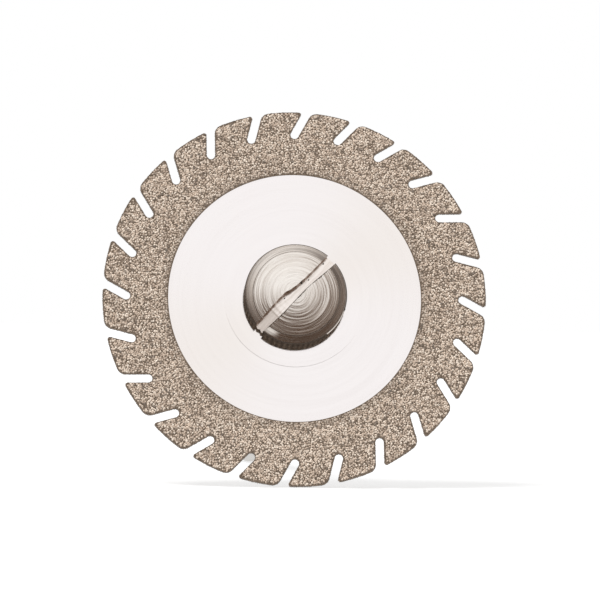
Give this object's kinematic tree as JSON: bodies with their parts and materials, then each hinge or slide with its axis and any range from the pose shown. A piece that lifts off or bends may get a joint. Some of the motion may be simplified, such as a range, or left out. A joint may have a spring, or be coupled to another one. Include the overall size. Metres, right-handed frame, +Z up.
{
  "type": "mounted diamond cutting disc",
  "caption": "Thin steel cutting disc with a slotted, diamond-coated rim, clamped by a knurled slotted screw on a straight handpiece mandrel.",
  "frame": {"origin": "centre of the base of the box around the tool as it lies at rest, on the disc's rim and the shank's end", "axes": "+Z up; the disc faces -Y and a little up, the shank runs back to +Y and down, +X is to the right seen from the front"},
  "size_m": [0.022, 0.045, 0.0215],
  "materials": {
    "polished_steel": "polished stainless steel with faint circular brushing",
    "diamond_grit": "matt nickel bond full of fine diamond grit",
    "mandrel_steel": "fine turned stainless steel",
    "turned_steel": "turned steel with concentric tool marks"
  },
  "bodies": {
    "root": {"disc_blank": "polished_steel", "diamond_coating": "diamond_grit", "mandrel": "mandrel_steel", "clamp_screw": "turned_steel"}
  },
  "joints": []
}
